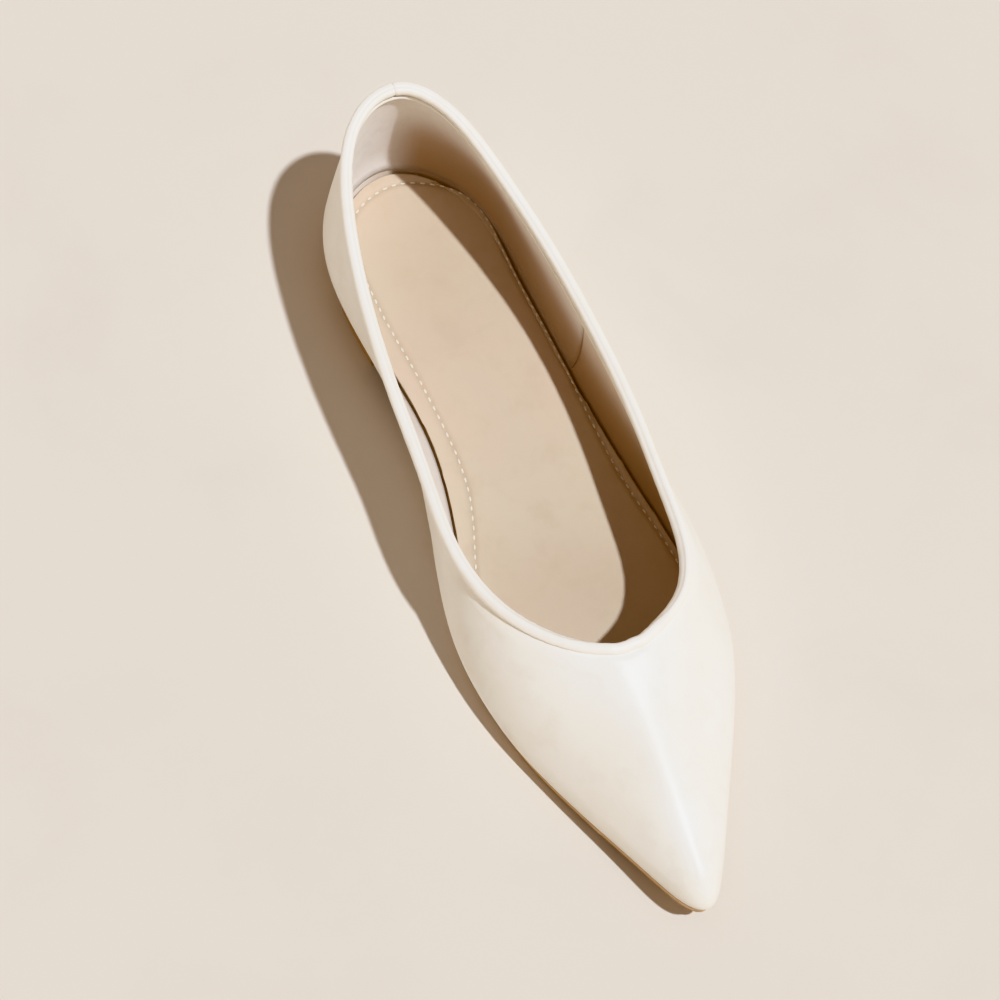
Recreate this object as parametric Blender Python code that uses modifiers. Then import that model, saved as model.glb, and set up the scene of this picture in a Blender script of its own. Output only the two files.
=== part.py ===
# Pointed flat slip-on shoe, right foot. Metres, +X to the outer side, +Y to the toe, +Z up.
# The origin is on the floor, in the middle of the flat face under the heel.
import math

import bmesh
import bpy
import numpy as np

MM = 0.001

# Sizes of the last and of what is built on it
LENGTH = 257.2 * MM
BALL_WIDTH = 80.0 * MM
BACK_HEIGHT = 62.0 * MM
TOE_SPRING = 8.0 * MM
HEEL_HEIGHT = 6.5 * MM
HEEL_LENGTH = 60.0 * MM
OUTSOLE_THICKNESS = 3.0 * MM
INSOLE_THICKNESS = 3.0 * MM
WALL = 1.6 * MM
BINDING_WIDTH = 3.8 * MM
BINDING_HEIGHT = 3.4 * MM

# How far the upper tucks in under its widest line, and how far the sole stands out again
HEEL_TUCK = 3.2 * MM
TOE_TUCK = 1.3 * MM
HEEL_SOLE_MARGIN = 0.6 * MM
TOE_SOLE_MARGIN = 0.5 * MM
EDGE_ROUNDING = 0.5 * MM
HEEL_TAPER = 1.2 * MM

# Height of the widest line above the sole, at the back and at the toe
HEEL_BELLY = 12.0 * MM
TOE_BELLY = 3.2 * MM

# Clearance that touching pieces keep, and the insole's edge: inside the feather line, then slanted
GAP = 0.3 * MM
INSOLE_MARGIN = 1.35 * MM
INSOLE_TAPER = 0.9 * MM

# Where the sole's forms begin and end, as shares of the length from the back of the heel
WAIST_START = 0.25
TREAD_START = 0.58
TREAD_END = 0.74
SPRING_CURVE = 1.8
INSOLE_END = 0.965

# Mesh density
STEPS_PER_SECTION = 4
TUCK_STEPS = 2
WALL_STEPS = 9
BINDING_SIDES = 10
SOLE_ROWS = 26

# One row for each upright section of the upper, going round from the back of the heel by the
# outer side. across and extra_tuck are shares of half the ball width, along a share of the length
# from the heel's back, collar_height a share of the height of the wall at the back, and lean the
# angle in degrees at which the wall meets the collar, 0 upright and 90 flat. extra_tuck is how
# much further than usual the wall runs in under its widest line, towards the narrow waist.
COLUMNS = ("name", "across", "along", "collar_across", "collar_along", "collar_height", "lean", "extra_tuck")
SECTIONS = (
    ("heel_back", 0.000, 0.000, 0.015, 0.015, 1.000, 8, 0.000),
    ("heel_back_lateral", 0.312, 0.016, 0.290, 0.028, 0.981, 8, 0.000),
    ("heel_corner_lateral", 0.585, 0.058, 0.525, 0.072, 0.930, 6, 0.000),
    ("heel_side_lateral", 0.745, 0.132, 0.682, 0.145, 0.854, 2, 0.000),
    ("seat_lateral", 0.730, 0.237, 0.775, 0.241, 0.768, -4, 0.022),
    ("waist_lateral", 0.690, 0.349, 0.810, 0.349, 0.683, -9, 0.088),
    ("arch_lateral", 0.745, 0.446, 0.815, 0.444, 0.621, -7, 0.108),
    ("ball_lateral", 0.875, 0.550, 0.845, 0.539, 0.597, 4, 0.096),
    ("vamp_lateral", 0.917, 0.632, 0.765, 0.616, 0.607, 28, 0.030),
    ("tread_lateral", 0.838, 0.713, 0.580, 0.669, 0.631, 46, 0.018),
    ("shoulder_lateral", 0.707, 0.777, 0.400, 0.700, 0.655, 58, 0.004),
    ("toe_side_lateral", 0.516, 0.850, 0.240, 0.718, 0.672, 66, 0.000),
    ("toe_lateral", 0.312, 0.924, 0.120, 0.727, 0.683, 70, 0.000),
    ("tip_lateral", 0.144, 0.983, 0.045, 0.731, 0.686, 72, 0.000),
    ("tip", 0.000, 1.000, -0.020, 0.732, 0.686, 72, 0.000),
    ("tip_medial", -0.139, 0.983, -0.085, 0.731, 0.686, 72, 0.000),
    ("toe_medial", -0.355, 0.926, -0.165, 0.730, 0.684, 70, 0.000),
    ("toe_side_medial", -0.618, 0.852, -0.272, 0.723, 0.676, 66, 0.000),
    ("shoulder_medial", -0.860, 0.779, -0.436, 0.709, 0.660, 60, 0.000),
    ("tread_medial", -1.018, 0.709, -0.652, 0.680, 0.645, 52, 0.000),
    ("vamp_medial", -1.070, 0.628, -0.797, 0.624, 0.630, 42, 0.000),
    ("ball_medial", -1.030, 0.546, -0.830, 0.546, 0.630, 28, 0.000),
    ("arch_medial", -0.935, 0.450, -0.840, 0.452, 0.650, 14, 0.000),
    ("waist_medial", -0.840, 0.349, -0.800, 0.349, 0.691, 6, 0.000),
    ("seat_medial", -0.775, 0.241, -0.710, 0.241, 0.760, 6, 0.000),
    ("heel_side_medial", -0.735, 0.132, -0.555, 0.135, 0.858, 10, 0.000),
    ("heel_corner_medial", -0.575, 0.057, -0.398, 0.069, 0.940, 10, 0.000),
    ("heel_back_medial", -0.305, 0.014, -0.210, 0.030, 0.985, 8, 0.000),
)
AROUND = len(SECTIONS) * STEPS_PER_SECTION
ORIGIN_ALONG = HEEL_LENGTH / 2

# How strongly a section climbs before it turns over the foot, and how straight it arrives
CLIMB_LIMIT = 0.26 * LENGTH
ARRIVAL = 0.95
TUCK_ANGLE = math.radians(50)

# Smoothing that rounds the ridge over the toe: passes, and its reach in sections each way
RIDGE_SECTION = [row[0] for row in SECTIONS].index("tip")
RIDGE_PASSES = 14
RIDGE_REACH = 6.5


def smooth_step(value, start, end):
    share = np.clip((np.asarray(value, float) - start) / (end - start), 0.0, 1.0)
    return share * share * (3.0 - 2.0 * share)


def column(name):
    place = COLUMNS.index(name)
    return np.array([row[place] for row in SECTIONS], float)


def round_the_shoe(values, count):
    """A closed smooth curve through one value, or one point, for each section."""
    values = np.asarray(values, float)
    total = len(values)
    ring = 4.0 * np.eye(total) + np.roll(np.eye(total), 1, 0) + np.roll(np.eye(total), -1, 0)
    slopes = np.linalg.solve(ring, 3.0 * (np.roll(values, -1, 0) - np.roll(values, 1, 0)))
    place = np.arange(count) * total / count
    start = place.astype(int)
    end = (start + 1) % total
    share = place - start
    if values.ndim == 2:
        share = share[:, None]
    return (
        (2 * share**3 - 3 * share**2 + 1) * values[start]
        + (share**3 - 2 * share**2 + share) * slopes[start]
        + (3 * share**2 - 2 * share**3) * values[end]
        + (share**3 - share**2) * slopes[end]
    )


def unit(vectors):
    return vectors / np.linalg.norm(vectors, axis=-1, keepdims=True)


def outward(outline):
    """Outward directions in plan of a closed outline that runs counter-clockwise from above."""
    run = np.roll(outline, -1, 0) - np.roll(outline, 1, 0)
    return unit(np.column_stack([run[:, 1], -run[:, 0]]))


def sole_bottom(along):
    """Height of the outsole's underside above the floor, along from the back of the heel."""
    share = np.asarray(along, float) / LENGTH
    waist = HEEL_HEIGHT * (1.0 - smooth_step(share, WAIST_START, TREAD_START))
    spring = TOE_SPRING * np.clip((share - TREAD_END) / (1.0 - TREAD_END), 0.0, None) ** SPRING_CURVE
    return waist + spring


def sole_top(along):
    return sole_bottom(along) + OUTSOLE_THICKNESS


def from_heel_to_toe(along, heel_value, toe_value):
    return heel_value + (toe_value - heel_value) * smooth_step(along / LENGTH, 0.45, 0.8)


def belly_line(count):
    """The widest line of the upper: points in plan and outward directions."""
    plan = np.column_stack([column("across") * BALL_WIDTH / 2, column("along") * LENGTH])
    plan = round_the_shoe(plan, count)
    return plan, outward(plan)


def feather_line(count):
    """The line where the upper meets the sole, tucked in under the widest line."""
    plan, out = belly_line(count)
    extra = round_the_shoe(column("extra_tuck"), count) * BALL_WIDTH / 2
    tuck = from_heel_to_toe(plan[:, 1], HEEL_TUCK, TOE_TUCK) + extra
    return plan - out * tuck[:, None]


def collar_line(count):
    """The upper edge of the wall, in space."""
    wall_height = BACK_HEIGHT - BINDING_HEIGHT - GAP
    points = np.column_stack([
        column("collar_across") * BALL_WIDTH / 2,
        column("collar_along") * LENGTH,
        column("collar_height") * wall_height,
    ])
    return round_the_shoe(points, count)


def hermite(start, start_run, end, end_run, share):
    return (
        (2 * share**3 - 3 * share**2 + 1) * start
        + (share**3 - 2 * share**2 + share) * start_run
        + (3 * share**2 - 2 * share**3) * end
        + (share**3 - share**2) * end_run
    )


def arrival_directions(belly, out, collar):
    """Direction in which each section runs into the collar."""
    inward = collar[:, :2] - belly
    reach = np.linalg.norm(inward, axis=1)
    turned = smooth_step(reach, 0.1 * BALL_WIDTH, 0.3 * BALL_WIDTH)[:, None]
    plan = unit((1.0 - turned) * -out + turned * inward / np.maximum(reach, GAP)[:, None])
    lean = np.radians(round_the_shoe(column("lean"), len(belly)))
    return np.column_stack([plan * np.sin(lean)[:, None], np.cos(lean)])


def rounded_ridge(ring, share):
    """A ring at a share of the climb, its ridge over the toe smoothed away from both edges."""
    place = np.abs(np.arange(len(ring)) / STEPS_PER_SECTION - RIDGE_SECTION)
    near = 1.0 - smooth_step(place, 1.5, RIDGE_REACH)
    weight = near * smooth_step(share, 0.15, 0.55) * (1.0 - smooth_step(share, 0.82, 1.0))
    for _ in range(RIDGE_PASSES):
        ring = ring + weight[:, None] * (np.roll(ring, -1, 0) + np.roll(ring, 1, 0) - 2 * ring) / 4
    return ring


def upper_rings():
    """Rings of points from the feather line up to the collar, on the outside of the upper."""
    belly, out = belly_line(AROUND)
    feather = feather_line(AROUND)
    collar = collar_line(AROUND)
    up = np.array([0.0, 0.0, 1.0])
    low = np.column_stack([feather, sole_top(feather[:, 1]) + GAP])
    rise = from_heel_to_toe(belly[:, 1], HEEL_BELLY, TOE_BELLY)
    wide = np.column_stack([belly, sole_top(belly[:, 1]) + GAP + rise])
    tuck = np.linalg.norm(wide - low, axis=1)[:, None]
    leave = np.column_stack([out * math.cos(TUCK_ANGLE), np.full(AROUND, math.sin(TUCK_ANGLE))])
    chord = np.linalg.norm(collar - wide, axis=1)[:, None]
    climb = chord * CLIMB_LIMIT / (chord + CLIMB_LIMIT)
    arrive = arrival_directions(belly, out, collar)
    rings = [
        hermite(low, leave * tuck, wide, up * tuck, step / TUCK_STEPS)
        for step in range(TUCK_STEPS)
    ]
    rings += [
        rounded_ridge(
            hermite(wide, up * climb, collar, arrive * chord * ARRIVAL, step / WALL_STEPS),
            step / WALL_STEPS,
        )
        for step in range(WALL_STEPS + 1)
    ]
    return rings, arrive


def binding_rings():
    """Rings of the rolled band that sits on the upper's edge."""
    rings, arrive = upper_rings()
    collar = rings[-1]
    run = unit(np.roll(collar, -1, 0) - np.roll(collar, 1, 0))
    side = unit(np.cross(run, arrive))
    middle = collar + arrive * (GAP + BINDING_HEIGHT / 2) - side * WALL / 2
    band = []
    for step in range(BINDING_SIDES):
        angle = math.tau * (step + 0.5) / BINDING_SIDES - math.pi / 2
        across = math.copysign(abs(math.cos(angle)) ** 0.75, math.cos(angle))
        height = math.copysign(abs(math.sin(angle)) ** 0.75, math.sin(angle))
        height = max(height, -math.cos(math.pi / BINDING_SIDES) ** 0.75)
        band.append(middle + side * across * BINDING_WIDTH / 2 + arrive * height * BINDING_HEIGHT / 2)
    return band


def shifted(points):
    """From measures along the shoe to the part's own frame."""
    return np.asarray(points, float) - np.array([0.0, ORIGIN_ALONG, 0.0])


def material(name, colour, roughness):
    surface = bpy.data.materials.new(name)
    surface.use_nodes = True
    shader = surface.node_tree.nodes["Principled BSDF"]
    shader.inputs["Base Color"].default_value = (*colour, 1.0)
    shader.inputs["Roughness"].default_value = roughness
    shader.inputs["Metallic"].default_value = 0.0
    return surface


def add_object(collection, name, mesh_data, surface):
    mesh = bpy.data.meshes.new(name)
    mesh_data.to_mesh(mesh)
    mesh_data.free()
    mesh.materials.append(surface)
    mesh.shade_smooth()
    mesh.set_sharp_from_angle(angle=math.radians(40))
    piece = bpy.data.objects.new(name, mesh)
    collection.objects.link(piece)
    return piece


def ring_surface(rings, closed):
    """A quad surface between rings of points; closed joins the last ring to the first."""
    shape = bmesh.new()
    loops = [[shape.verts.new(point) for point in shifted(ring)] for ring in rings]
    if closed:
        loops.append(loops[0])
    for lower, higher in zip(loops, loops[1:]):
        for place in range(len(lower)):
            after = (place + 1) % len(lower)
            shape.faces.new((lower[place], lower[after], higher[after], higher[place]))
    return shape


def add_upper(collection):
    rings, _ = upper_rings()
    shape = ring_surface(rings, closed=False)
    surface = material("cream_leather", (0.87, 0.84, 0.79), 0.38)
    upper = add_object(collection, "upper", shape, surface)
    shell = upper.modifiers.new("wall", "SOLIDIFY")
    shell.thickness = WALL
    shell.offset = -1.0
    shell.use_even_offset = True
    shell.use_rim = True
    return upper


def add_binding(collection):
    shape = ring_surface(binding_rings(), closed=True)
    surface = material("binding_leather", (0.90, 0.87, 0.82), 0.35)
    return add_object(collection, "topline_binding", shape, surface)


def offset_outline(outline, distance):
    return outline + outward(outline) * np.broadcast_to(distance, len(outline))[:, None]


def rim_direction(outline, directions, plan):
    """Distance from a point to the outline, and the outward direction there."""
    along = np.roll(outline, -1, 0) - outline
    share = ((plan - outline) * along).sum(axis=1) / (along**2).sum(axis=1)
    share = np.clip(share, 0.0, 1.0)
    distance = np.linalg.norm(outline + share[:, None] * along - plan, axis=1)
    place = int(np.argmin(distance))
    after = (place + 1) % len(outline)
    mixed = (1.0 - share[place]) * directions[place] + share[place] * directions[after]
    return distance[place], mixed / np.linalg.norm(mixed)


def cut_across(shape, along, keep_behind=False):
    everything = shape.verts[:] + shape.edges[:] + shape.faces[:]
    bmesh.ops.bisect_plane(
        shape, geom=everything, dist=0.001 * MM, plane_co=(0, along, 0), plane_no=(0, 1, 0),
        clear_outer=keep_behind,
    )


def slab(outline, inset, top_height, bottom_height, front=None):
    """A plate bent to heights given along the shoe, its lower edge drawn in by the inset."""
    shape = bmesh.new()
    shape.faces.new([shape.verts.new((x, y, 0.0)) for x, y in outline])
    start, end = outline[:, 1].min(), outline[:, 1].max()
    for row in range(1, SOLE_ROWS):
        cut_across(shape, start + (end - start) * (1.0 - math.cos(math.pi * row / SOLE_ROWS)) / 2)
    if front is not None:
        cut_across(shape, front, keep_behind=True)
    upper_side = shape.verts[:]
    extruded = bmesh.ops.extrude_face_region(shape, geom=shape.faces[:], use_keep_orig=True)
    lower_side = [item for item in extruded["geom"] if isinstance(item, bmesh.types.BMVert)]
    directions = outward(outline)
    for vert in lower_side:
        distance, direction = rim_direction(outline, directions, np.array(vert.co[:2]))
        if distance < 0.01 * MM:
            vert.co.x -= direction[0] * inset
            if front is None or vert.co.y < front - inset:
                vert.co.y -= direction[1] * inset
    for vert in upper_side:
        vert.co.z = float(top_height(vert.co.y))
    for vert in lower_side:
        vert.co.z = float(bottom_height(vert.co.y))
    for vert in shape.verts:
        vert.co.y -= ORIGIN_ALONG
    bmesh.ops.triangulate(shape, faces=shape.faces[:])
    bmesh.ops.recalc_face_normals(shape, faces=shape.faces[:])
    return shape


def outsole_outline():
    feather = feather_line(AROUND)
    return offset_outline(feather, from_heel_to_toe(feather[:, 1], HEEL_SOLE_MARGIN, TOE_SOLE_MARGIN))


def add_outsole(collection):
    shape = slab(outsole_outline(), EDGE_ROUNDING, sole_top, sole_bottom)
    return add_object(collection, "outsole", shape, material("tan_sole", (0.55, 0.42, 0.30), 0.6))


def add_insole(collection):
    shape = slab(
        offset_outline(feather_line(AROUND), -INSOLE_MARGIN),
        INSOLE_TAPER,
        lambda along: sole_top(along) + GAP + INSOLE_THICKNESS,
        lambda along: sole_top(along) + GAP,
        front=INSOLE_END * LENGTH,
    )
    return add_object(collection, "insole", shape, material("tan_sock", (0.66, 0.51, 0.38), 0.55))


def add_heel(collection):
    shape = slab(
        offset_outline(outsole_outline(), -EDGE_ROUNDING),
        HEEL_TAPER,
        lambda along: HEEL_HEIGHT - GAP,
        lambda along: 0.0,
        front=HEEL_LENGTH,
    )
    return add_object(collection, "heel", shape, material("heel_stack", (0.50, 0.38, 0.27), 0.6))


def main():
    for piece in list(bpy.data.objects):
        bpy.data.objects.remove(piece, do_unlink=True)
    collection = bpy.data.collections.new("pointed_flat_shoe")
    bpy.context.scene.collection.children.link(collection)
    add_outsole(collection)
    add_heel(collection)
    add_insole(collection)
    add_upper(collection)
    add_binding(collection)


main()
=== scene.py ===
import math

import bmesh
import bpy
from mathutils import Matrix, Quaternion, Vector
from mathutils.bvhtree import BVHTree
from mathutils.kdtree import KDTree


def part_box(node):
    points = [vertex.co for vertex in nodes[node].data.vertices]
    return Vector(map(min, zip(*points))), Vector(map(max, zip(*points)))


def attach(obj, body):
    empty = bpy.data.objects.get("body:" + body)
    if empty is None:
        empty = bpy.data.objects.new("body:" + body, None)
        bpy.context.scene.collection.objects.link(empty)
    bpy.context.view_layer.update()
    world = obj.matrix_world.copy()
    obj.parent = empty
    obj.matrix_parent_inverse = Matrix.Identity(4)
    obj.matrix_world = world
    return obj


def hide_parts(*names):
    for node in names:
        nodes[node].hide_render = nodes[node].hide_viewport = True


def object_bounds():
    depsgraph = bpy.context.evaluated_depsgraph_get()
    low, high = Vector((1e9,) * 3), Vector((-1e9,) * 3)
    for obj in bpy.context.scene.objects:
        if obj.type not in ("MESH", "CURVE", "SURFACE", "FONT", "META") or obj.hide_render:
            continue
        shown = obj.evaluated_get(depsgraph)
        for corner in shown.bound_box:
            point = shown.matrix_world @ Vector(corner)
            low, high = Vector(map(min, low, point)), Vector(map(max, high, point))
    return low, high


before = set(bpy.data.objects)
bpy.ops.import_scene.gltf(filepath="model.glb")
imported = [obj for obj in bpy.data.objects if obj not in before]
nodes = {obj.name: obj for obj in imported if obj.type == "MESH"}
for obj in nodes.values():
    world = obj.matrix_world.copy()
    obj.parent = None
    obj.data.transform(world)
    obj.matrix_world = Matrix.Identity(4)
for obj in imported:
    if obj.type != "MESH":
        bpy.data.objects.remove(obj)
cadLow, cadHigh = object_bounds()
mm = 0.001
print("stage: packed model loaded,", len(nodes), "nodes")


copyLook = {
    "mergeWithin": 0.002 * mm,
    "fold": 0.7, "skew": 3.14,  # how bent and how oblong a joined quad may be, in radians
    "influences": (0.5, 0.8, 1.0, 1.2, 1.35, 1.5, 1.65, 1.8),  # tried in turn for the most regular quads
}


def copyOf(nodeName, look=copyLook):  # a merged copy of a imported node, its triangles joined to quads
    best = None
    for influence in look["influences"]:
        shape = bmesh.new()
        shape.from_mesh(nodes[nodeName].data)
        bmesh.ops.remove_doubles(shape, verts=shape.verts[:], dist=look["mergeWithin"])
        bmesh.ops.join_triangles(
            shape, faces=shape.faces[:], angle_face_threshold=look["fold"],
            angle_shape_threshold=look["skew"], topology_influence=influence)
        left = sum(len(face.verts) == 3 for face in shape.faces)
        if best is not None and left >= best[0]:
            shape.free()
            continue
        if best is not None:
            best[1].free()
        best = (left, shape)
        if left == 0:
            break
    for face in best[1].faces:
        face.material_index = 0
    print("copy of", nodeName, "with", best[0], "triangles left")
    return best[1]


def moveAll(moves):  # after all of them are known, so that none is worked out from a moved vert
    for vert, move in moves:
        vert.co += move


def fullSize(shape, crease):  # moves the verts out by what the subdivision will draw them in
    moves = []
    for vert in shape.verts:
        if any(edge[crease] > 0.0 for edge in vert.link_edges):
            continue
        count = len(vert.link_edges)
        ends = sum((edge.other_vert(vert).co for edge in vert.link_edges), Vector())
        middles = sum((face.calc_center_median() for face in vert.link_faces), Vector())
        settled = (vert.co * count * (count - 1) + ends * 2 + middles * 4) / (count * (count + 5))
        moves.append((vert, vert.co - settled))
    moveAll(moves)


def addObject(name, data):
    made = bpy.data.objects.new(name, data)
    bpy.context.scene.collection.objects.link(made)
    return made


def subdivided(shape, levels):  # the same shape after a Subdivision Surface
    rough = bpy.data.meshes.new("rough")
    shape.to_mesh(rough)
    shape.free()
    holder = addObject("rough", rough)
    finer = holder.modifiers.new("finer", "SUBSURF")
    finer.levels = finer.render_levels = levels
    graph = bpy.context.evaluated_depsgraph_get()
    smooth = bpy.data.meshes.new_from_object(holder.evaluated_get(graph))
    fine = bmesh.new()
    fine.from_mesh(smooth)
    bpy.data.objects.remove(holder)
    bpy.data.meshes.remove(rough)
    bpy.data.meshes.remove(smooth)
    fine.normal_update()
    return fine


def makePiece(shape, name, materials, standsFor=()):
    mesh = bpy.data.meshes.new(name)
    shape.normal_update()
    shape.to_mesh(mesh)
    shape.free()
    for finish in materials:
        mesh.materials.append(finish)
    mesh.shade_smooth()
    piece = addObject(name, mesh)
    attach(piece, "root")
    if standsFor:
        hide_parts(*standsFor)
    return piece


def between(low, high, value):  # 0 below low, 1 above high, smooth in between
    share = min(1.0, max(0.0, (value - low) / (high - low)))
    return share * share * (3.0 - 2.0 * share)


def loopInOrder(edges):  # the verts of one closed loop of edges, in their order
    around = {}
    for edge in edges:
        for vert in edge.verts:
            around.setdefault(vert, []).append(edge)
    start = edges[0].verts[0]
    loop, last = [start], None
    while True:
        edge = next(e for e in around[loop[-1]] if e is not last)
        vert = edge.other_vert(loop[-1])
        if vert is start:
            return loop
        loop.append(vert)
        last = edge


def evenPoints(loop, spacing):  # points and directions at an even spacing round a closed loop
    lengths = [(loop[(i + 1) % len(loop)] - loop[i]).length for i in range(len(loop))]
    total = sum(lengths)
    count = max(3, round(total / spacing))
    points, place, walked = [], 0, 0.0
    for number in range(count):
        goal = total * number / count
        while walked + lengths[place] < goal:
            walked += lengths[place]
            place += 1
        start, end = loop[place], loop[(place + 1) % len(loop)]
        points.append(start.lerp(end, (goal - walked) / lengths[place]))
    directions = [(points[(i + 1) % count] - points[i - 1]).normalized() for i in range(count)]
    return points, directions


def distanceToPath(point, path):  # distance to a line of points, and how far along it, 0 to 1
    best, where = 1e9, 0.0
    for number, (start, end) in enumerate(zip(path, path[1:])):
        along = end - start
        share = min(1.0, max(0.0, (point - start).dot(along) / along.length_squared))
        away = (point - start - along * share).length
        if away < best:
            best, where = away, (number + share) / (len(path) - 1)
    return best, where


def addMask(shape, name):
    return shape.verts.layers.float.new(name)


def newGroup(name, inputs, outputs):
    group = bpy.data.node_groups.new(name, "ShaderNodeTree")
    for label, kind, value in inputs:
        socket = group.interface.new_socket(label, in_out="INPUT", socket_type=kind)
        socket.default_value = value
    for label, kind in outputs:
        group.interface.new_socket(label, in_out="OUTPUT", socket_type=kind)
    return group, group.nodes.new("NodeGroupInput"), group.nodes.new("NodeGroupOutput")


def addNode(tree, kind, settings=None, **values):  # settings are its menus, values its sockets
    made = tree.nodes.new(kind)
    for name, value in (settings or {}).items():
        setattr(made, name, value)
    for name, value in values.items():
        made.inputs[name.replace("_", " ")].default_value = value
    return made


def mathNode(tree, operation, first, second=None, third=None):
    made = tree.nodes.new("ShaderNodeMath")
    made.operation = operation
    for place, value in enumerate((first, second, third)):
        if value is None:
            continue
        if isinstance(value, (int, float)):
            made.inputs[place].default_value = value
        else:
            tree.links.new(value, made.inputs[place])
    return made.outputs[0]


def mixColour(tree, factor, first, second):
    made = tree.nodes.new("ShaderNodeMix")
    made.data_type = "RGBA"
    for place, value in ((0, factor), (6, first), (7, second)):
        if isinstance(value, (int, float, tuple)):
            made.inputs[place].default_value = value
        else:
            tree.links.new(value, made.inputs[place])
    return made.outputs[2]


def toLinear(red, green, blue):  # a screen colour, 0 to 255, as Blender wants it
    return tuple(
        (c / 12.92 if c <= 0.04045 else ((c + 0.055) / 1.055) ** 2.4)
        for c in (red / 255.0, green / 255.0, blue / 255.0)) + (1.0,)


grainLook = {
    "warpScale": 420.0, "warp": 0.6 * mm, "poreSoftness": 0.6, "fineScale": 1.9,  # a share of the pores'
    "poreShare": 0.55, "fineShare": 0.35,
}


def leatherGrainGroup(look):  # fine pores with a slight soft waviness, as a height
    group, start, end = newGroup(
        "leatherGrain",
        [("Pore Scale", "NodeSocketFloat", 1500.0), ("Wave Scale", "NodeSocketFloat", 90.0),
         ("Wave Amount", "NodeSocketFloat", 0.5)],
        [("Height", "NodeSocketFloat"), ("Pores", "NodeSocketFloat")])
    place = group.nodes.new("ShaderNodeTexCoord")
    warp = addNode(group, "ShaderNodeTexNoise", Scale=look["warpScale"], Detail=2.0)
    pores = addNode(group, "ShaderNodeTexVoronoi", {"feature": "SMOOTH_F1"}, Smoothness=look["poreSoftness"])
    fine = addNode(group, "ShaderNodeTexNoise", Detail=4.0, Roughness=0.6)
    wave = addNode(group, "ShaderNodeTexNoise", Detail=2.0, Roughness=0.45)
    bent = addNode(group, "ShaderNodeVectorMath", {"operation": "MULTIPLY_ADD"})
    bent.inputs[1].default_value = (look["warp"],) * 3
    group.links.new(place.outputs["Object"], warp.inputs["Vector"])
    group.links.new(warp.outputs["Color"], bent.inputs[0])
    group.links.new(place.outputs["Object"], bent.inputs[2])
    for texture in (pores, fine, wave):
        group.links.new(bent.outputs[0], texture.inputs["Vector"])
    group.links.new(start.outputs["Pore Scale"], pores.inputs["Scale"])
    finer = mathNode(group, "MULTIPLY", start.outputs["Pore Scale"], look["fineScale"])
    group.links.new(finer, fine.inputs["Scale"])
    group.links.new(start.outputs["Wave Scale"], wave.inputs["Scale"])
    cells = mathNode(group, "MULTIPLY", pores.outputs["Distance"], look["poreShare"])
    small = mathNode(group, "MULTIPLY_ADD", fine.outputs["Fac"], look["fineShare"], cells)
    waves = mathNode(group, "MULTIPLY", wave.outputs["Fac"], start.outputs["Wave Amount"])
    group.links.new(mathNode(group, "ADD", small, waves), end.inputs["Height"])
    group.links.new(pores.outputs["Distance"], end.inputs["Pores"])
    return group


mottleLook = {
    "secondScale": 4.7, "speckScale": 2600.0, "warmFrom": 0.38, "warmTo": 0.72,
    "darkFrom": 0.45, "darkTo": 0.8, "darkMost": 0.6,
}


def mottleGroup(look):  # a colour that drifts between three near shades, with faint specks
    group, start, end = newGroup(
        "softMottle",
        [("Colour", "NodeSocketColor", (0.8, 0.8, 0.8, 1)), ("Warm", "NodeSocketColor", (0.8, 0.7, 0.6, 1)),
         ("Dark", "NodeSocketColor", (0.6, 0.6, 0.6, 1)), ("Scale", "NodeSocketFloat", 30.0),
         ("Specks", "NodeSocketFloat", 0.05)],
        [("Colour", "NodeSocketColor"), ("Cloud", "NodeSocketFloat")])
    place = group.nodes.new("ShaderNodeTexCoord")
    broad = addNode(group, "ShaderNodeTexNoise", Detail=3.0, Roughness=0.5)
    second = addNode(group, "ShaderNodeTexNoise", Detail=5.0, Roughness=0.6, Distortion=0.3)
    specks = addNode(group, "ShaderNodeTexNoise", Scale=look["speckScale"], Detail=2.0)
    for texture in (broad, second, specks):
        group.links.new(place.outputs["Object"], texture.inputs["Vector"])
    group.links.new(start.outputs["Scale"], broad.inputs["Scale"])
    closer = mathNode(group, "MULTIPLY", start.outputs["Scale"], look["secondScale"])
    group.links.new(closer, second.inputs["Scale"])
    warm = addNode(group, "ShaderNodeMapRange", {"interpolation_type": "SMOOTHSTEP"},
                   From_Min=look["warmFrom"], From_Max=look["warmTo"])
    dark = addNode(group, "ShaderNodeMapRange", {"interpolation_type": "SMOOTHSTEP"},
                   From_Min=look["darkFrom"], From_Max=look["darkTo"], To_Max=look["darkMost"])
    group.links.new(broad.outputs["Fac"], warm.inputs["Value"])
    group.links.new(second.outputs["Fac"], dark.inputs["Value"])
    first = mixColour(group, warm.outputs[0], start.outputs["Colour"], start.outputs["Warm"])
    shaded = mixColour(group, dark.outputs[0], first, start.outputs["Dark"])
    amount = mathNode(group, "MULTIPLY", specks.outputs["Fac"], start.outputs["Specks"])
    speckled = mixColour(group, amount, shaded, start.outputs["Dark"])
    group.links.new(speckled, end.inputs["Colour"])
    group.links.new(broad.outputs["Fac"], end.inputs["Cloud"])
    return group


scuffLook = {
    "turn": (0.3, 0.5, 0.9), "stretch": (1.0, 0.12, 0.5), "patchScale": 45.0,
    "lineFrom": 0.6, "lineTo": 0.72, "patchFrom": 0.5, "patchTo": 0.65,
}


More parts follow.
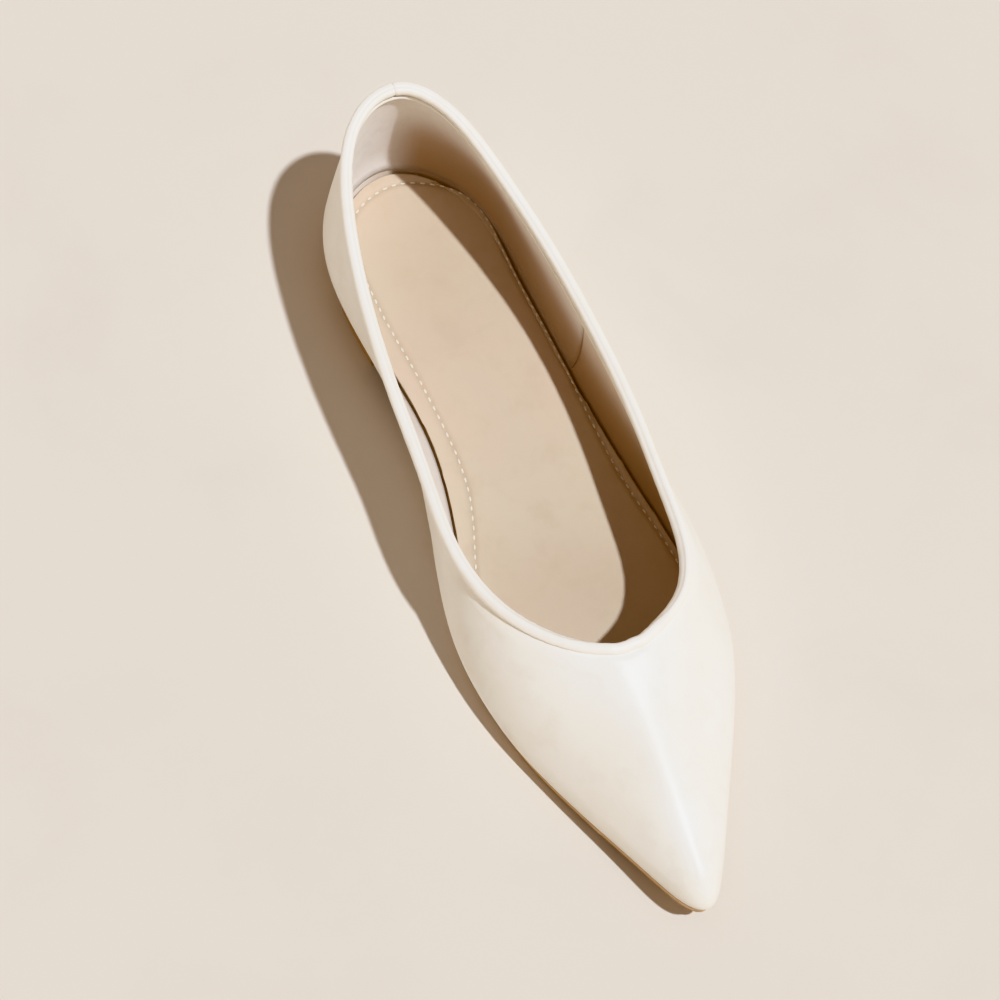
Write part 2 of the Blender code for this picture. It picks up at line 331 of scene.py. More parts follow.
def scuffGroup(look):  # thin handling scuffs, as a mask
    group, start, end = newGroup(
        "softScuffs",
        [("Scale", "NodeSocketFloat", 220.0), ("Amount", "NodeSocketFloat", 0.4)],
        [("Mask", "NodeSocketFloat")])
    place = group.nodes.new("ShaderNodeTexCoord")
    stretch = addNode(group, "ShaderNodeMapping", Rotation=look["turn"], Scale=look["stretch"])
    lines = addNode(group, "ShaderNodeTexNoise", Detail=3.0, Roughness=0.7)
    patches = addNode(group, "ShaderNodeTexNoise", Scale=look["patchScale"], Detail=2.0)
    group.links.new(place.outputs["Object"], stretch.inputs["Vector"])
    group.links.new(stretch.outputs[0], lines.inputs["Vector"])
    group.links.new(place.outputs["Object"], patches.inputs["Vector"])
    group.links.new(start.outputs["Scale"], lines.inputs["Scale"])
    sharp = addNode(group, "ShaderNodeMapRange", From_Min=look["lineFrom"], From_Max=look["lineTo"])
    where = addNode(group, "ShaderNodeMapRange", From_Min=look["patchFrom"], From_Max=look["patchTo"])
    group.links.new(lines.outputs["Fac"], sharp.inputs["Value"])
    group.links.new(patches.outputs["Fac"], where.inputs["Value"])
    both = mathNode(group, "MULTIPLY", sharp.outputs[0], where.outputs[0])
    group.links.new(mathNode(group, "MULTIPLY", both, start.outputs["Amount"]), end.inputs["Mask"])
    return group


groups = {
    "grain": leatherGrainGroup(grainLook), "mottle": mottleGroup(mottleLook),
    "scuffs": scuffGroup(scuffLook)}


def useGroup(tree, key, **values):
    made = tree.nodes.new("ShaderNodeGroup")
    made.node_tree = groups[key]
    for name, value in values.items():
        made.inputs[name.replace("_", " ")].default_value = value
    return made


def newMaterial(name):
    material = bpy.data.materials.new(name)
    material.use_nodes = True
    return material, material.node_tree, material.node_tree.nodes["Principled BSDF"]


def mottled(tree, look):
    return useGroup(
        tree, "mottle", Colour=look["colour"], Warm=look["warm"], Dark=look["dark"],
        Scale=look["mottleScale"], Specks=look["specks"])


def grained(tree, look):
    return useGroup(
        tree, "grain", Pore_Scale=look["poreScale"], Wave_Scale=look["waveScale"],
        Wave_Amount=look["waveAmount"])


def maskOf(tree, name):
    return addNode(tree, "ShaderNodeAttribute", {"attribute_name": name}).outputs["Fac"]


def overlaid(tree, mask, amount, below, overColour):
    return mixColour(tree, mathNode(tree, "MULTIPLY", mask, amount), below, overColour)


def leatherMaterial(name, look):  # every smooth leather of the shoe, from its own settings
    material, tree, shader = newMaterial(name)
    colour, grain = mottled(tree, look), grained(tree, look)
    scuffs = useGroup(tree, "scuffs", Amount=look["scuffs"])
    worn = maskOf(tree, "worn")
    # darker overlay from the mask: painted shade in the lining, heel grip, binding groove and insole
    # channel, real marks at the back joint
    soiledAndShaded = overlaid(
        tree, maskOf(tree, "soilAndShade"), look["soilAndShadeAmount"], colour.outputs["Colour"], look["soilAndShadeColour"])
    rubbed = overlaid(tree, worn, look["wornAmount"], soiledAndShaded, look["wornColour"])
    marked = mixColour(tree, scuffs.outputs["Mask"], rubbed, look["scuffColour"])
    tree.links.new(marked, shader.inputs["Base Color"])
    rough = mathNode(tree, "MULTIPLY_ADD", grain.outputs["Pores"], look["poreRoughness"], look["roughness"])
    rough = mathNode(tree, "MULTIPLY_ADD", colour.outputs["Cloud"], look["cloudRoughness"], rough)
    rough = mathNode(tree, "MULTIPLY_ADD", scuffs.outputs["Mask"], look["scuffRoughness"], rough)
    rough = mathNode(tree, "MULTIPLY_ADD", worn, look["wornRoughness"], rough)
    tree.links.new(rough, shader.inputs["Roughness"])
    bump = addNode(tree, "ShaderNodeBump", Strength=look["bump"], Distance=look["bumpHeight"])
    tree.links.new(grain.outputs["Height"], bump.inputs["Height"])
    tree.links.new(bump.outputs["Normal"], shader.inputs["Normal"])
    shader.inputs["Specular IOR Level"].default_value = look["specular"]
    shader.inputs["Coat Weight"].default_value = look["coat"]
    shader.inputs["Coat Roughness"].default_value = look["coatRoughness"]
    shader.inputs["Sheen Weight"].default_value = look["sheen"]
    shader.inputs["Sheen Roughness"].default_value = look["sheenRoughness"]
    return material


leatherBasis = {  # what the leathers share unless a finish says otherwise
    "mottleScale": 26.0, "specks": 0.05, "poreScale": 1500.0, "waveScale": 95.0, "waveAmount": 0.5,
    # the darker overlay colour below serves real marks and painted shade alike
    "scuffs": 0.06, "scuffColour": toLinear(205, 196, 184), "soilAndShadeAmount": 0.5,
    "soilAndShadeColour": toLinear(196, 178, 152), "wornAmount": 0.3, "wornColour": toLinear(244, 240, 234),
    "wornRoughness": 0.05, "poreRoughness": 0.05, "cloudRoughness": 0.08, "roughness": 0.40,
    "scuffRoughness": 0.2, "bump": 0.35, "bumpHeight": 0.08 * mm, "specular": 0.45,
    "coat": 0.07, "coatRoughness": 0.30, "sheen": 0.0, "sheenRoughness": 0.5,
}
creamLeather = leatherMaterial("creamLeather", {
    **leatherBasis, "colour": toLinear(244, 243, 241), "warm": toLinear(242, 239, 234),
    "dark": toLinear(236, 232, 226)})
bindingLeather = leatherMaterial("bindingLeather", {
    **leatherBasis, "colour": toLinear(248, 246, 243), "warm": toLinear(246, 243, 237),
    "dark": toLinear(240, 235, 227), "roughness": 0.42, "poreScale": 1900.0, "soilAndShadeAmount": 0.6})
# its darker overlay colour is painted shade, a warm brown low down on the arch side of the lining
liningLeather = leatherMaterial("liningLeather", {
    **leatherBasis, "colour": toLinear(240, 231, 222), "warm": toLinear(238, 226, 214),
    "dark": toLinear(228, 214, 200), "soilAndShadeColour": toLinear(172, 136, 100), "soilAndShadeAmount": 0.9,
    "roughness": 0.55, "coat": 0.0, "specular": 0.3, "sheen": 0.08,
    "bump": 0.45, "poreScale": 1700.0, "specks": 0.12})
# its darker overlay colour is painted shade, a warm brown low down on the inner side of the grip
heelGripSuede = leatherMaterial("heelGripSuede", {
    **leatherBasis, "colour": toLinear(241, 236, 233), "warm": toLinear(238, 231, 226),
    "dark": toLinear(226, 218, 212), "soilAndShadeColour": toLinear(170, 134, 98), "soilAndShadeAmount": 0.9,
    "roughness": 0.75, "coat": 0.0, "specular": 0.2, "sheen": 0.35,
    "bump": 0.6, "poreScale": 2600.0, "specks": 0.3, "mottleScale": 60.0})
insoleLeather = leatherMaterial("insoleLeather", {
    **leatherBasis, "colour": toLinear(219, 202, 179), "warm": toLinear(221, 199, 177),
    "dark": toLinear(211, 190, 165), "roughness": 0.52, "coat": 0.0, "specular": 0.32, "sheen": 0.05,
    "bump": 0.4, "specks": 0.16, "mottleScale": 22.0, "wornColour": toLinear(205, 180, 153),
    # this darker overlay colour is painted shade along the stitch channel
    "wornAmount": 0.35, "wornRoughness": -0.12, "soilAndShadeColour": toLinear(170, 145, 118)})


def threadMaterial(look):  # waxed thread with its twist along each stitch
    material, tree, shader = newMaterial("stitchThread")
    colour = mottled(tree, look)
    place = tree.nodes.new("ShaderNodeTexCoord")
    twist = addNode(
        tree, "ShaderNodeTexWave", {"bands_direction": "DIAGONAL"}, Scale=look["twistScale"],
        Distortion=look["twistDrift"])
    tree.links.new(place.outputs["Object"], twist.inputs["Vector"])
    bump = addNode(tree, "ShaderNodeBump", Strength=look["bump"], Distance=look["twistHeight"])
    tree.links.new(twist.outputs["Fac"], bump.inputs["Height"])
    tree.links.new(bump.outputs["Normal"], shader.inputs["Normal"])
    tree.links.new(colour.outputs["Colour"], shader.inputs["Base Color"])
    rough = mathNode(tree, "MULTIPLY_ADD", twist.outputs["Fac"], look["twistRoughness"], look["roughness"])
    tree.links.new(rough, shader.inputs["Roughness"])
    shader.inputs["Sheen Weight"].default_value = look["sheen"]
    return material


stitchThread = threadMaterial({
    "colour": toLinear(248, 243, 232), "warm": toLinear(245, 236, 221), "dark": toLinear(232, 221, 203),
    "mottleScale": 300.0, "specks": 0.2, "twistScale": 900.0, "twistDrift": 0.4, "bump": 0.6,
    "twistHeight": 0.05 * mm, "roughness": 0.5, "twistRoughness": 0.12, "sheen": 0.25})


def rubberMaterial(name, look):  # painted edge above, moulded rubber under the shoe
    material, tree, shader = newMaterial(name)
    colour, grain = mottled(tree, look), grained(tree, look)
    upperEdge = useGroup(
        tree, "mottle", Colour=look["paint"], Warm=look["paintWarm"], Dark=look["paintDark"],
        Scale=look["paintScale"], Specks=look["paintSpecks"])
    paint = maskOf(tree, "paint")
    scuffs = useGroup(tree, "scuffs", Scale=look["scuffScale"], Amount=look["scuffs"])
    painted = mixColour(tree, paint, colour.outputs["Colour"], upperEdge.outputs["Colour"])
    soiledAndShaded = overlaid(tree, maskOf(tree, "soilAndShade"), look["soilAndShadeAmount"], painted, look["soilAndShadeColour"])
    marked = mixColour(tree, scuffs.outputs["Mask"], soiledAndShaded, look["scuffColour"])
    tree.links.new(marked, shader.inputs["Base Color"])
    rough = mathNode(tree, "MULTIPLY_ADD", paint, look["paintRoughness"], look["roughness"])
    rough = mathNode(tree, "MULTIPLY_ADD", scuffs.outputs["Mask"], look["scuffRoughness"], rough)
    tree.links.new(rough, shader.inputs["Roughness"])
    place = tree.nodes.new("ShaderNodeTexCoord")
    ribs = addNode(
        tree, "ShaderNodeTexWave", {"bands_direction": "Y", "wave_profile": "TRI"},
        Scale=look["ribScale"], Distortion=0.0)
    cross = addNode(
        tree, "ShaderNodeTexWave", {"bands_direction": "X", "wave_profile": "TRI"},
        Scale=look["ribScale"] * look["crossShare"], Distortion=0.0)
    for texture in (ribs, cross):
        tree.links.new(place.outputs["Object"], texture.inputs["Vector"])
    ribbed = mathNode(tree, "MAXIMUM", ribs.outputs["Fac"], cross.outputs["Fac"])
    ribbed = mathNode(tree, "MULTIPLY", ribbed, maskOf(tree, "tread"))
    height = mathNode(tree, "MULTIPLY_ADD", grain.outputs["Height"], look["grainAmount"], ribbed)
    bump = addNode(tree, "ShaderNodeBump", Strength=look["bump"], Distance=look["treadHeight"])
    tree.links.new(height, bump.inputs["Height"])
    tree.links.new(bump.outputs["Normal"], shader.inputs["Normal"])
    shader.inputs["Specular IOR Level"].default_value = look["specular"]
    return material


rubberBasis = {  # what the two rubbers share
    "mottleScale": 40.0, "specks": 0.15, "paintScale": 60.0, "paintSpecks": 0.08, "poreScale": 900.0,
    "waveScale": 140.0, "waveAmount": 0.4, "scuffScale": 180.0, "scuffs": 0.35, "soilAndShadeAmount": 0.5,
    "paintRoughness": -0.12, "scuffRoughness": 0.2, "specular": 0.35, "grainAmount": 0.25,
    "crossShare": 0.7, "bump": 0.7, "treadHeight": 0.35 * mm,
}
soleRubber = rubberMaterial("soleRubber", {
    **rubberBasis, "colour": toLinear(196, 160, 116), "warm": toLinear(190, 148, 102),
    "dark": toLinear(170, 132, 92), "paint": toLinear(216, 186, 148), "paintWarm": toLinear(210, 178, 138),
    "paintDark": toLinear(196, 162, 122), "scuffColour": toLinear(150, 122, 92),
    "soilAndShadeColour": toLinear(128, 104, 80), "roughness": 0.6, "ribScale": 105.0})
heelRubber = rubberMaterial("heelRubber", {
    **rubberBasis, "colour": toLinear(186, 150, 108), "warm": toLinear(180, 140, 98),
    "dark": toLinear(160, 124, 88), "paint": toLinear(200, 168, 128), "paintWarm": toLinear(194, 160, 120),
    "paintDark": toLinear(182, 148, 110), "scuffColour": toLinear(142, 116, 88),
    "soilAndShadeColour": toLinear(120, 98, 76), "roughness": 0.62, "ribScale": 95.0})
print("stage: materials")


def collarPath(ringEdge):  # the middle of each ring of the roll, in order round the collar
    shape = copyOf("topline_binding")
    group = {}
    for edge in shape.edges:
        if edge.calc_length() < ringEdge:
            a, b = edge.verts
            joined = group.get(a, {a}) | group.get(b, {b})
            group.update(dict.fromkeys(joined, joined))
    rings, seen = [], set()
    for vert in shape.verts:
        ring = group.get(vert)
        if ring is None or id(ring) in seen:
            continue
        seen.add(id(ring))
        rings.append(sum((v.co for v in ring), Vector()) / len(ring))
    shape.free()
    ordered = [rings.pop(rings.index(min(rings, key=lambda p: p.y)))]
    while rings:
        nearest = min(rings, key=lambda p: (p - ordered[-1]).length)
        ordered.append(rings.pop(rings.index(nearest)))
    return ordered


collarLook = {
    "ringEdge": 1.7 * mm,  # shorter edges go round the roll, longer ones along it
    "spacing": 3.0 * mm, "fineSpacing": 0.8 * mm,
    "middle": (-2.0 * mm, 20.0 * mm, 110.0 * mm),  # across, and from where to where along the opening
}


def sideways(along, point):  # level, square to the collar and away from the middle of the opening
    across, back, front = collarLook["middle"]
    side = Vector((along.y, -along.x, 0.0)).normalized()
    middle = Vector((across, min(max(point.y, back), front), point.z))
    return side if side.dot(point - middle) > 0.0 else -side


def outwardDirections(path):
    return [sideways(path[(i + 1) % len(path)] - path[i - 1], point) for i, point in enumerate(path)]


def searchTree(points):
    tree = KDTree(len(points))
    for number, point in enumerate(points):
        tree.insert(point, number)
    tree.balance()
    return tree


collar = collarPath(collarLook["ringEdge"])
collarPoints, _ = evenPoints(collar, collarLook["spacing"])
collarOut = outwardDirections(collarPoints)
collarFine, collarAlong = evenPoints(collar, collarLook["fineSpacing"])
collarTree = searchTree(collarFine)


upperLook = {
    "levels": 2, "rimAngle": 1.0, "rimCrease": 0.85,  # keeps the cut rims of the shell crisp
    # the middle line that tells the outside from the inside: its place in the back, and in the toe
    "middleBack": (-4.0 * mm, 14.0 * mm), "middleToe": (-12.0 * mm, 7.0 * mm),
    "toeFrom": 150.0 * mm, "toeTo": 205.0 * mm,
    # the outside darker in the lowest few mm above the sole
    "soilAndShade": 0.8, "darkHeight": 5.0 * mm,
    "liningShade": (6.0 * mm, 34.0 * mm), "archSide": (-14.0 * mm, 10.0 * mm),  # painted shade: the lining darker low down and on the arch side
    "creases": [  # points, width and depth in mm: soft troughs where the forepart bends
        ([(-33, 118, 22), (-22, 126, 30), (-6, 133, 31)], 4.5, 0.35),
        ([(-36, 128, 18), (-27, 137, 26), (-12, 145, 29)], 4.0, 0.28),
        ([(34, 116, 20), (26, 127, 27), (16, 136, 29)], 4.0, 0.30),
        ([(33, 130, 16), (27, 139, 22), (18, 147, 25)], 3.6, 0.22),
        ([(-37, 96, 12), (-37, 104, 22), (-36, 110, 30)], 5.0, 0.30),
        ([(34, 92, 12), (35, 101, 22), (34, 108, 30)], 5.0, 0.28),
        ([(-26, 2, 16), (-30, 12, 28), (-31, 20, 40)], 6.0, 0.25),
    ],
    "crest": {"back": 120.0 * mm, "front": 219.0 * mm, "lift": 9.0 * mm, "clear": 6.0 * mm, "passes": 60},
    "ridges": [
        ([(-34, 123, 20), (-24, 131, 28), (-9, 139, 30)], 4.0, 0.22),
        ([(33, 123, 18), (26, 133, 25), (17, 142, 27)], 3.6, 0.18),
    ],
    "markReach": 2.6, "markSpread": 0.7, "markEnds": 0.08,  # how far a mark spreads, in widths, and fades
    "seamPlace": 0.4 * mm, "seamReach": 4.0 * mm, "seamWidth": 0.9 * mm, "seamDepth": 0.22 * mm,
    "rimReach": (3.2 * mm, 5.0 * mm), "rimMove": 0.8 * mm,  # closes the upper rim onto the roll
    "footReach": (0.4 * mm, 1.0 * mm), "footMove": 0.36 * mm,  # and its lower rim onto the sole
}


def insideOf(point, look):  # a point on the middle line, beside the given one
    share = between(look["toeFrom"], look["toeTo"], point.y)
    across, height = (
        back * (1.0 - share) + toe * share for back, toe in zip(look["middleBack"], look["middleToe"]))
    return Vector((across, min(max(point.y, 0.0), look["toeTo"]), height))


def relief(point, marks, look):
    total = 0.0
    for path, width, depth in marks:
        away, where = distanceToPath(point, [Vector(p) * mm for p in path])
        if away < look["markReach"] * width * mm:
            fade = math.sin(math.pi * (look["markEnds"] + (1.0 - 2.0 * look["markEnds"]) * where))
            spread = away / (width * mm * look["markSpread"])
            total += depth * mm * fade * math.exp(-spread * spread)
    return total


def softenCrest(shape, crest):  # rubs the ridge over the toe down to a round one
    near = []
    for vert in shape.verts:
        lift = vert.co.z - solesTop(vert.co.y)
        if crest["back"] < vert.co.y < crest["front"] and lift > crest["lift"]:
            if collarTree.find(vert.co)[2] > crest["clear"]:
                near.append(vert)
    for _ in range(crest["passes"]):
        bmesh.ops.smooth_vert(
            shape, verts=near, factor=0.5, use_axis_x=True, use_axis_y=True, use_axis_z=True)


def makeUpper(look):
    shape = copyOf("upper")
    shape.normal_update()
    for face in shape.faces:
        middle = face.calc_center_median()
        outer = face.normal.dot(middle - insideOf(middle, look)) > 0.0
        face.material_index = 0 if outer else 1
    crease = shape.edges.layers.float.new("crease_edge")
    for edge in shape.edges:
        if len(edge.link_faces) == 2 and edge.calc_face_angle() > look["rimAngle"]:
            edge[crease] = look["rimCrease"]
    fullSize(shape, crease)
    shape = subdivided(shape, look["levels"])
    soilAndShade = addMask(shape, "soilAndShade")
    softenCrest(shape, look["crest"])
    moves = []
    for vert in shape.verts:
        point = vert.co
        inner = any(face.material_index == 1 for face in vert.link_faces)
        away = relief(point, look["ridges"], look) - relief(point, look["creases"], look)
        if point.y < 0.0 and abs(point.x - look["seamPlace"]) < look["seamReach"] and not inner:
            spread = (point.x - look["seamPlace"]) / look["seamWidth"]
            away -= look["seamDepth"] * math.exp(-spread * spread)
        moves.append((vert, vert.normal * (-away if inner else away)))
        lift = point.z - solesTop(point.y)
        # inside, painted shade: darker low down and on the arch side; outside, darker in the lowest few mm
        # above the sole
        if inner:
            deep = 1.0 - between(*look["liningShade"], lift)
            vert[soilAndShade] = deep * (1.0 - between(*look["archSide"], point.x))
        else:
            vert[soilAndShade] = look["soilAndShade"] * (1.0 - between(0.0, look["darkHeight"], lift))
        middle, _, gap = collarTree.find(point)
        if gap < look["rimReach"][1]:
            near = 1.0 - between(*look["rimReach"], gap)
            moves.append((vert, (middle - point).normalized() * near * look["rimMove"]))
        if lift < look["footReach"][1]:
            near = 1.0 - between(*look["footReach"], lift)
            moves.append((vert, Vector((0.0, 0.0, -look["footMove"] * near))))
    moveAll(moves)
    return shape


soleSteps = {"step": 2.0 * mm, "past": 4.0 * mm}  # and the height that holds past the sole's ends


def solesTop(along):  # how high the sole's upper side is at a place along the shoe
    return soleTops.get(round(along / soleSteps["step"]), soleSteps["past"])


def measureSole():
    tops = {}
    for vert in nodes["outsole"].data.vertices:
        key = round(vert.co.y / soleSteps["step"])
        tops[key] = max(tops.get(key, 0.0), vert.co.z)
    keys = sorted(tops)
    filled = {}
    for low, high in zip(keys, keys[1:]):
        for key in range(low, high + 1):
            share = (key - low) / (high - low)
            filled[key] = tops[low] * (1.0 - share) + tops[high] * share
    return filled


soleTops = measureSole()
upper = makePiece(
    makeUpper(upperLook), "upperLeather", [creamLeather, liningLeather], ["upper"])
print("stage: upper,", len(upper.data.polygons), "faces")


bindingLook = {
    "levels": 2,
    "fullness": 0.11 * mm,  # makes up what the subdivision takes off
    "jointPlace": 0.6 * mm, "jointReach": 3.0 * mm, "jointWidth": 0.22 * mm, "jointDepth": 0.16 * mm,
    "jointRows": (-1.0, -0.33, 0.33, 1.0), "jointSoil": 0.45,
    "pucker": 0.05 * mm, "puckerPitch": 5.2 * mm, "puckerRadius": 70.0 * mm, "puckerMiddle": 60.0 * mm,
    "puckerDrift": 5.1,
    "grooveTurn": 22.0, "grooveWidth": 0.30 * mm, "grooveDepth": 0.17 * mm,  # degrees from the top
    # painted shade darkens the groove
    "grooveShade": 0.4,
    "lipWidth": 1.15 * mm, "lipHeight": 1.5 * mm, "lipDrop": 2.9 * mm, "lipClear": 0.12 * mm, "lipSides": 8,
}


def makeBinding(look):
    shape = copyOf("topline_binding")
    for offset in look["jointRows"]:  # extra rows each side of the joint at the back
        behind = [f for f in shape.faces if f.calc_center_median().y < 0.0]
        verts = {v for f in behind for v in f.verts}
        edges = {e for f in behind for e in f.edges}
        bmesh.ops.bisect_plane(
            shape, geom=list(verts) + list(edges) + behind, dist=0.0001 * mm,
            plane_co=(look["jointPlace"] + offset * look["jointWidth"], 0, 0), plane_no=(1, 0, 0))
    shape = subdivided(shape, look["levels"])
    soilAndShade = addMask(shape, "soilAndShade")
    moves = []
    for vert in shape.verts:
        point = vert.co
        away = look["fullness"]
        if point.y < 0.0 and abs(point.x - look["jointPlace"]) < look["jointReach"]:
            gap = (point.x - look["jointPlace"]) / look["jointWidth"]
            away -= look["jointDepth"] * math.exp(-gap * gap)
            vert[soilAndShade] = look["jointSoil"] * math.exp(-gap * gap)
        turn = math.atan2(point.y - look["puckerMiddle"], point.x)
        around = turn * look["puckerRadius"] / look["puckerPitch"]
        drift = math.sin(look["puckerDrift"] * around + 1.0)
        away += look["pucker"] * math.sin(2.0 * math.pi * around) * drift
        middle, number, _ = collarTree.find(point)
        along = collarAlong[number]
        side = -sideways(along, middle)
        top = along.cross(side)
        offset = point - middle
        offset -= along * offset.dot(along)
        turn = math.atan2(offset.dot(side), offset.dot(top if top.z > 0 else -top))
        arc = (turn - math.radians(look["grooveTurn"])) * offset.length / look["grooveWidth"]
        away -= look["grooveDepth"] * math.exp(-arc * arc)
        # painted shade in the groove
        vert[soilAndShade] = max(vert[soilAndShade], look["grooveShade"] * math.exp(-arc * arc))
        moves.append((vert, vert.normal * away))
    moveAll(moves)
    return shape


wallProbe = {"inward": 9.0 * mm, "reach": 30.0 * mm}


def wallHits(tree, centre, outward, height):  # where the inside of the wall is, at a height
    start = Vector((centre.x, centre.y, height)) - outward * wallProbe["inward"]
    return tree.ray_cast(start, outward, wallProbe["reach"])[:2]


upperTree = BVHTree.FromObject(upper, bpy.context.evaluated_depsgraph_get())


def makeLip(look):  # the folded edge of the lining that shows under the roll
    rings = []
    shape = bmesh.new()
    for point, outward in zip(collarPoints, collarOut):
        hit, normal = wallHits(upperTree, point, outward, point.z - look["lipDrop"])
        if hit is None:
            hit, normal = point - Vector((0, 0, look["lipDrop"])), -outward
        inward = Vector((normal.x, normal.y, 0.0)).normalized()
        middle = hit + inward * (look["lipWidth"] * 0.5 + look["lipClear"])
        made = bmesh.ops.create_circle(shape, segments=look["lipSides"], radius=0.5, cap_ends=False)
        turned = Matrix((
            (inward.x * look["lipWidth"], 0.0, 0.0, middle.x),
            (inward.y * look["lipWidth"], 0.0, 0.0, middle.y),
            (0.0, look["lipHeight"], 0.0, middle.z), (0.0, 0.0, 0.0, 1.0)))
        bmesh.ops.transform(shape, matrix=turned, verts=made["verts"])
        rings.append(made["verts"])
    for first, second in zip(rings, rings[1:] + rings[:1]):
        edges = {e for v in first for e in v.link_edges if e.other_vert(v) in first}
        edges |= {e for v in second for e in v.link_edges if e.other_vert(v) in second}
        bmesh.ops.bridge_loops(shape, edges=list(edges))
    bmesh.ops.recalc_face_normals(shape, faces=shape.faces[:])
    return subdivided(shape, 1)


binding = makePiece(
    makeBinding(bindingLook), "toplineBinding", [bindingLeather], ["topline_binding"])
lip = makePiece(makeLip(bindingLook), "collarLip", [bindingLeather])
print("stage: binding,", len(binding.data.polygons), "faces, lip", len(lip.data.polygons))


insoleLook = {
    "rings": (0.5, 0.7, 2.4, 1.0, 0.45, 0.45, 0.9, 2.0),  # widths in mm, from the edge inwards
    "channelRing": 4,  # the ring at the bottom of the sewn channel
    "padFront": 200.0 * mm,  # the pad ends here, and a thin board goes on into the point
    "facesUp": 0.8, "padUp": 0.35,  # how level the faces of the top are, and the verts that are pressed
    "sewnLine": [  # where the seam runs, from the inner side of the ball round the heel, in mm
        (-37.0, 150.2), (-36.4, 120.8), (-30.8, 89.7), (-28.1, 56.7), (-25.5, 24.0), (-22.5, -8.4),
        (-2.9, -21.2), (16.6, -11.0), (18.2, 17.4), (15.1, 48.8), (13.9, 81.1), (22.1, 110.4),
        (28.3, 134.9)],
    "seamSteps": 12, "seamEnds": 14.0 * mm, "seamFront": 100.0 * mm,  # past here its ends fade out
    "pullFrom": 2.5 * mm, "pullReach": 15.0 * mm, "edgeKept": (0.6 * mm, 3.6 * mm), "borderAngle": 0.6,
    "pullBlend": 0.2 * mm,
    # the channel also gets painted shade, strongest in its middle
    "channelDepth": 0.45, "channelWidth": 0.9, "channelShade": 0.5, "channelSpacing": 0.7 * mm,
    "grid": 3.0 * mm,
    "footMarks": [  # place, half size and depth in mm
        ((-1.0, 6.0), (17.0, 22.0), 0.35), ((-12.0, 122.0), (16.0, 20.0), 0.35),
        ((14.0, 112.0), (13.0, 17.0), 0.22)],
    "markWear": 2.0,
}


def smoothPath(points, steps):  # a soft curve through points
    path = []
    for number in range(len(points) - 1):
        a, b = points[number], points[number + 1]
        before = points[number - 1] if number > 0 else a * 2 - b
        after = points[number + 2] if number + 2 < len(points) else b * 2 - a
        for step in range(steps):
            t = step / steps
            path.append(0.5 * ((2 * a) + (b - before) * t + (2 * before - 5 * a + 4 * b - after) * t * t
                               + (3 * a - before - 3 * b + after) * t ** 3))
    path.append(points[-1])
    return path


def pullToSewnLine(shape, loop, look):  # slides the rings near the channel onto the seam's own line
    line = smoothPath([Vector((x, y, 0.0)) * mm for x, y in look["sewnLine"]], look["seamSteps"])
    pulls = []
    for point in loop:
        flat = Vector((point.x, point.y, 0.0))
        target = min(line, key=lambda p: (p - flat).length)
        ends = min((target - line[0]).length, (target - line[-1]).length)
        amount = between(0.0, look["seamEnds"], ends) if flat.y > look["seamFront"] else 1.0
        pulls.append((target - flat) * amount)
    tree = searchTree([Vector((p.x, p.y, 0.0)) for p in loop])
    border = [v for e in shape.edges if abs(e.calc_face_angle(0.0)) > look["borderAngle"] for v in e.verts]
    borderTree = searchTree([Vector((v.co.x, v.co.y, 0.0)) for v in border])
    moves = []
    for vert in shape.verts:
        flat = Vector((vert.co.x, vert.co.y, 0.0))
        near = tree.find_n(flat, 3)
        weight = between(*look["edgeKept"], borderTree.find(flat)[2])
        weight *= 1.0 - between(look["pullFrom"], look["pullReach"], near[0][2])
        share = [1.0 / (look["pullBlend"] + item[2]) for item in near]
        pull = sum((pulls[item[1]] * part for item, part in zip(near, share)), Vector()) / sum(share)
        moves.append((vert, pull * weight))
    moveAll(moves)
    for number, point in enumerate(loop):
        loop[number] = point + pulls[number]


def makeInsole(look):
    shape = copyOf("insole")
    top = [
        face for face in shape.faces
        if face.normal.z > look["facesUp"] and face.calc_center_median().y < look["padFront"]]
    for number, width in enumerate(look["rings"]):
        bmesh.ops.inset_region(
            shape, faces=top, thickness=width * mm, depth=0.0, use_boundary=True, use_even_offset=True)
        if number == look["channelRing"]:
            inside = set(top)
            rim = [e for e in shape.edges if sum(f in inside for f in e.link_faces) == 1]
            loop = [v.co.copy() for v in loopInOrder(rim)]
    pullToSewnLine(shape, loop, look)
    low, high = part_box("insole")
    for axis in (0, 1):
        count = int((high[axis] - low[axis]) / look["grid"])
        for number in range(1, count):
            place, normal = [0.0, 0.0, 0.0], [0.0, 0.0, 0.0]
            place[axis] = low[axis] + (high[axis] - low[axis]) * number / count
            normal[axis] = 1.0
            bmesh.ops.bisect_plane(
                shape, geom=shape.verts[:] + shape.edges[:] + shape.faces[:], dist=0.05 * mm,
                plane_co=place, plane_no=normal)
    shape = subdivided(shape, 1)
    worn, soilAndShade = addMask(shape, "worn"), addMask(shape, "soilAndShade")
    dense, _ = evenPoints(loop, look["channelSpacing"])
    track = searchTree(dense)
    for vert in shape.verts:
        if vert.normal.z < look["padUp"]:
            continue
        gap = track.find(vert.co)[2] / (look["channelWidth"] * mm)
        sunk = look["channelDepth"] * math.exp(-gap * gap)
        pressed = 0.0
        for (x, y), (wide, long), depth in look["footMarks"]:
            spread = ((vert.co.x / mm - x) / wide) ** 2 + ((vert.co.y / mm - y) / long) ** 2
            pressed += depth * math.exp(-spread)
        vert[worn] = min(1.0, pressed * look["markWear"])
        # painted shade along the sunk channel
        vert[soilAndShade] = look["channelShade"] * math.exp(-gap * gap)
        vert.co.z -= (sunk + pressed) * mm
    return shape, dense


insoleShape, channel = makeInsole(insoleLook)
insole = makePiece(insoleShape, "insoleSock", [insoleLeather], ["insole"])
print("stage: insole,", len(insole.data.polygons), "faces")


stitchLook = {
    "pitch": 3.05 * mm, "length": 1.75 * mm, "width": 0.72 * mm, "height": 0.42 * mm,
    "proud": 0.22,  # how far its middle stands out, as a share of its height
    "probe": 4.0 * mm,
}


